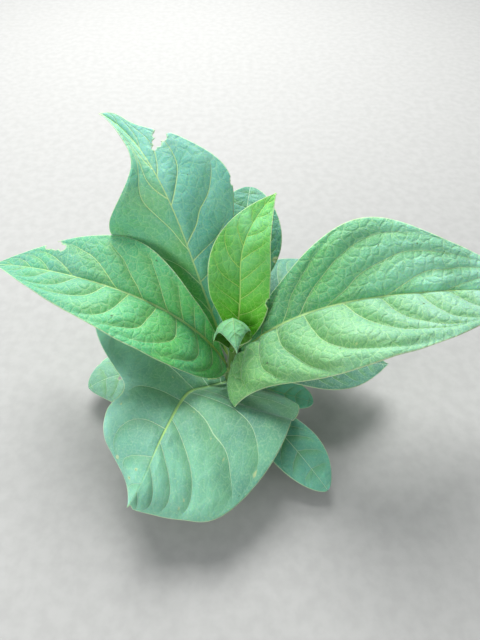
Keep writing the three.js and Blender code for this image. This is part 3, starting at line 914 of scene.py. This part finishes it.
# Its bent-over right half is painted paler, as painted light where it lies in the left leaf's shadow.
front_top = leaf_material(
    "front_leaf_top", leaf_front, ("#528e66", "#4a8474", "#84c6a8"),
    vein="#b8dcae", rib="#a6d078", vein_share=0.75, net_share=0.15, shade="#4e8650", shade_share=0.4,
    rib_from=95, painted_flap_light="#a0dcc8")
front_under = leaf_material(
    "front_leaf_underside", leaf_front, ("#93c596", "#7fb58c", "#9fcca8"), under=True)
front_bites = [(246, 5, 4)]
front_scars = [
    (218, -17, 1.6), (206, -12, 1.5), (198, -44, 2.4), (176, 55, 1.2), (186, 54, 1), (115, 121, 1.4),
    (121, 79, 0.8), (117, 55, 0.8), (107, 22, 0.8), (142, -64, 1.2), (68, -51, 0.8), (75, -28, 0.7),
]
front_holes = [(218, -17, 0.5), (206, -12, 0.4)]
grow_leaf("leaf_front", leaf_front, front_top, front_under, front_bites, front_scars, front_holes)


# The two youngest open leaves: one stands upright in the middle, still yellow green with the light
# through it; the other arches over the bud and shows its pale underside.
leaf_centre = {
    "turn": 87, "height": 96, "length": 226, "rib": 1.3, "seed": 53,
    "bulge": 0.06, "sway": 1.5, "frill": 0.8, "crinkle": 0.4, "net_size": 9.0,
    "heading": [60, 75, 90, 52, 30], "climb": [74, 70, 62, 48, 34],
    "left": {
        "half": 42, "widest": 0.46, "wing": 0.06,
        "lift": [10, 8, 18, 20, 20], "shape": [0.4, 0.78, 1, 1, 1],
        "veins": [(14, 20, 5), (32, 24, 8), (52, 30, 10), (74, 34, 12), (98, 36, 12), (124, 36, 12),
                  (152, 32, 10), (180, 24, 5), (206, 14, 0)],
    },
    "right": {
        "half": 46, "wing": 0.06, "lift": [40, 30, 22, 8, 0], "shape": [1.2, 1.1, 0.86, 1.08, 1.4],
        "veins": [(18, 20, 5), (38, 24, 8), (58, 30, 10), (82, 34, 12), (106, 36, 12), (134, 36, 12),
                  (162, 30, 10), (190, 20, 5), (212, 10, 0)],
    },
}
young_top = leaf_material(
    "young_leaf_top", leaf_centre, ("#54aa00", "#489c00", "#84cc90"),
    vein="#b4e078", rib="#b0dc80", vein_share=0.85, shade="#4c9a08", net_share=0.4, bloom=0.0, gloss=0.12)
young_under = leaf_material(
    "young_leaf_underside", leaf_centre, ("#8cc26a", "#7ab45e", "#9bcb84"), under=True)
centre_bites = [(87, -42, 5)]
grow_leaf("leaf_centre", leaf_centre, young_top, young_under, centre_bites)

hood_veins = [(10, 12, 4), (24, 14, 6), (40, 16, 6), (57, 16, 6), (75, 14, 4), (93, 10, 2), (108, 5, 0)]
leaf_hooded = {
    "turn": 108, "height": 108, "length": 118, "rib": 0.6, "seed": 61,
    "bulge": 0.05, "sway": 1.2, "frill": 1.0,
    "heading": [70, 80, 90, 97, 100], "climb": [86, 84, 116, 196, 232],
    "left": {
        "half": 38, "wing": 0.2, "lift": [60, 40, 5, 0, 0], "curl": [0, 30, 90, 70, 40],
        "shape": [1, 1, 1.05, 0.72, 0.4], "veins": hood_veins,
    },
    "right": {
        "half": 38, "wing": 0.2, "lift": [60, 40, 10, 5, 0], "curl": [0, 30, 80, 60, 40],
        "shape": [1, 1, 1, 0.85, 0.5], "veins": hood_veins,
    },
}
# Its upper side, inside the hollow under the arch, is given dark greens: painted shade.
hood_top_painted_shade = leaf_material(
    "hooded_leaf_top_painted_shade", leaf_hooded, ("#3c7a0c", "#306808", "#4a8820"), vein="#6ca838", bloom=0.05)
hood_under = leaf_material(
    "hooded_leaf_underside", leaf_hooded, ("#70b65a", "#66ac6c", "#78ba90"),
    vein="#88bc84", rib="#88bc80", vein_share=0.3, net_share=0.1, under=True)
grow_leaf("leaf_hooded", leaf_hooded, hood_top_painted_shade, hood_under)


# The lower and hinder leaves: older or smaller ones that fill the rosette under and behind the large
# ones. They are duller and bluer, and lie out and down towards the ground.
LOW_SEED = 71
LOW_VEIN_GAP = 24
FEWEST_VEINS = 6
FIRST_VEIN = 0.6  # where the first vein starts, in gaps from the root
VEIN_STRAY = 0.15
LOW_RAKE = 0.75  # how far forward the veins run, as shares of the half blade's reach
LOW_HOOK = 0.5
LOW_RIB_SHARE = 0.006
LENGTH_PER_SWAY = 125


def side_veins(leaf, side):
    """Side veins by rule: spread along the midrib, raked forward most in the middle of the leaf."""
    draw = np.random.default_rng(leaf["seed"])
    count = max(FEWEST_VEINS, round(leaf["length"] / LOW_VEIN_GAP))
    veins = []
    for i in range(count):
        s = (i + FIRST_VEIN + draw.uniform(-VEIN_STRAY, VEIN_STRAY)) / count
        swell = math.sin(math.pi * min(s + 0.08, 1))
        rake, hook = side["half"] * LOW_RAKE * swell, side["half"] * LOW_HOOK * swell
        veins.append((s * leaf["length"], rake, hook))
    return veins


def half_blade(half, lift, **more):
    """A half blade's values: its reach, its lift and whatever else is its own."""
    return {"half": half, "lift": lift, **more}


def both_alike(*values, **more):
    return {"left": half_blade(*values, **more), "right": half_blade(*values, **more)}


steep = [30, 15, 10, 10, 10]
raised = [20, 10, 5, 0, 0]
droop = [10, 5, 0, 0, 0]
plain = {"wing": 0.06, "shape": [0.4, 0.8, 1, 1, 1]}
rolled = {"full": 0.6, "curl": [0, 0, -10, -10, -10]}
narrow = {"widest": 0.6, "wing": 0.06, "full": 0.6}
blunt = {"widest": 0.68, "wing": 0.2, "full": 0.5}
OTHER_LEAVES = {
    "leaf_behind": {
        "turn": 92, "height": 78, "length": 240, "greens": ("#448a58", "#3c8064", "#529a80"),
        "heading": [80, 82, 82, 82, 82], "climb": [56, 60, 52, 36, 10],
        "left": half_blade(50, steep, shape=[0.4, 0.6, 1, 1], **narrow),
        "right": half_blade(52, steep, shape=[0.4, 0.5, 1, 1], **narrow),
        "scars": [(143, -46, 4)],
    },
    "leaf_back_right": {
        "turn": 32, "height": 72, "length": 246, "greens": ("#4a866c", "#407a68", "#5c9884"),
        "heading": [40, 46, 50, 52, 55], "climb": [58, 36, 8, -18, -36],
        "left": half_blade(54, raised, wing=0.05, shape=[0.5, 0.8, 1, 1, 1]),
        "right": half_blade(54, raised),
    },
    "leaf_low_back": {
        "turn": 90, "height": 58, "length": 270,
        "heading": [96, 98, 96, 94, 92], "climb": [44, 24, 2, -18, -30],
        **both_alike(60, raised, **plain),
    },
    "leaf_low_back_left": {
        "turn": 146, "height": 32, "length": 280,
        "heading": [138, 136, 134, 134, 136], "climb": [34, 14, 0, -10, -16],
        **both_alike(60, raised, **plain),
    },
    "leaf_low_left": {
        "turn": 169, "height": 18, "length": 206, "greens": ("#6a9c84", "#5c9078", "#7cb094"),
        "heading": [178, 176, 181, 189, 212], "climb": [26, 14, 2, -6, -16],
        "left": half_blade(54, droop, widest=0.62, **rolled),
        "right": half_blade(50, droop, widest=0.62, **rolled),
        "bites": [(157, 6, 3), (186, -36, 6)],
    },
    "leaf_low_front": {
        "turn": -60, "height": 17, "length": 198, "greens": ("#5ea88c", "#529c80", "#6cb69c"),
        "heading": [-54, -53, -51, -50, -50], "climb": [28, 14, 2, -14, -24],
        "left": half_blade(36, droop, widest=0.68, **rolled),
        "right": half_blade(34, droop, widest=0.6, **rolled),
    },
    "leaf_low_right": {
        "turn": -4, "height": 44, "length": 226, "greens": ("#447860", "#3c6e5a", "#4e8470"),
        "heading": [-4, 0, 4, 6, 8], "climb": [38, 16, -2, -12, -18],
        "left": half_blade(46, droop, widest=0.55),
        "right": half_blade(42, [10, 0, -5, -5, 0], widest=0.6),
    },
    # This small leaf's greens are paler than its own, as painted light: it lies in shade under the front
    # leaf.
    "leaf_low_small": {
        "turn": -30, "height": 30, "length": 113, "greens": ("#78d0ae", "#6cc0a0", "#88d8bc"),
        "heading": [-24, -20, -18, -16, -14], "climb": [16, 10, 2, -6, -14],
        "left": half_blade(23, droop, **blunt),
        "right": half_blade(19, droop, **blunt),
    },
    "leaf_sprout": {
        "turn": 215, "height": 60, "length": 34, "greens": ("#86ac38", "#769e30", "#9cbc4c"),
        "heading": [205, 205, 208, 212, 216], "climb": [30, 24, 10, -10, -40],
        **both_alike(8, [30, 10, 0, 0, 0], widest=0.6, wing=0.3),
    },
}
HIDDEN_GREENS = ("#4a8870", "#407c68", "#589884")
LOW_UNDER_GREENS = ("#8abb8c", "#78ac84", "#98c49c")
LOW_VEIN = "#a8d0ac"
LOW_RIB = "#b0d6b0"
for number, (node, leaf) in enumerate(OTHER_LEAVES.items()):
    leaf.update(seed=LOW_SEED + number, rib=LOW_RIB_SHARE * leaf["length"], crinkle=0.4)
    leaf.update(bulge=0.055, sway=leaf["length"] / LENGTH_PER_SWAY, frill=1.0)
    for side in ("left", "right"):
        leaf[side]["veins"] = side_veins(leaf, leaf[side])
    top = leaf_material(
        node + "_top", leaf, leaf.get("greens", HIDDEN_GREENS),
        vein=LOW_VEIN, rib=LOW_RIB, vein_share=0.8, net_share=0.14)
    underside = leaf_material(node + "_underside", leaf, LOW_UNDER_GREENS, under=True)
    grow_leaf(node, leaf, top, underside, leaf.get("bites", ()), leaf.get("scars", ()))


# The setting: a plain pale painted floor at ground level under a soft cool sky, with one broad lamp
# high behind the plant and a weaker one in front on the left, as on a bright overcast day.
FLOOR_SIZE = 8
SKY_COLOUR = (0.9, 0.96, 1.0, 1)
SKY_STRENGTH = 0.46
LAMP_SIZE = 1.6
LAMP_TINT = (0.98, 0.99, 1.0)
LAMPS = (("high_lamp", (-0.3, 1.6, 2.1), 116), ("front_lamp", (-1.5, -1.3, 0.9), 26))  # place, watts

bpy.ops.object.select_all(action="DESELECT")
bpy.ops.mesh.primitive_plane_add(size=FLOOR_SIZE)
floor = bpy.context.active_object
floor.name = "floor"
floor_material, tree, shader = new_material("floor_paint")
grain = mottle(tree, 60.0)
pale = blend(tree, fade(tree, grain, 0.3, 0.7), colour("#a3a29f"), colour("#a9a8a5"))
set_inputs(tree, shader, {"Base Color": pale, "Roughness": 0.9})
floor.data.materials.append(floor_material)

# Both lamps are round and soft, and are aimed at the plant's foot.
for name, place, watts in LAMPS:
    bpy.ops.object.light_add(type="AREA", location=place)
    lamp = bpy.context.active_object
    lamp.name = name
    lamp.data.shape = "DISK"
    lamp.data.size = LAMP_SIZE
    lamp.data.energy = watts
    lamp.data.color = LAMP_TINT
    aim = -np.array(place)
    level = math.hypot(aim[0], aim[1])
    lamp.rotation_euler = (math.atan2(level, -aim[2]), 0, math.atan2(aim[1], aim[0]) - math.pi / 2)

world = bpy.data.worlds.new("sky")
world.use_nodes = True
bpy.context.scene.world = world
sky = world.node_tree.nodes["Background"]
set_inputs(world.node_tree, sky, {"Color": SKY_COLOUR, "Strength": SKY_STRENGTH})
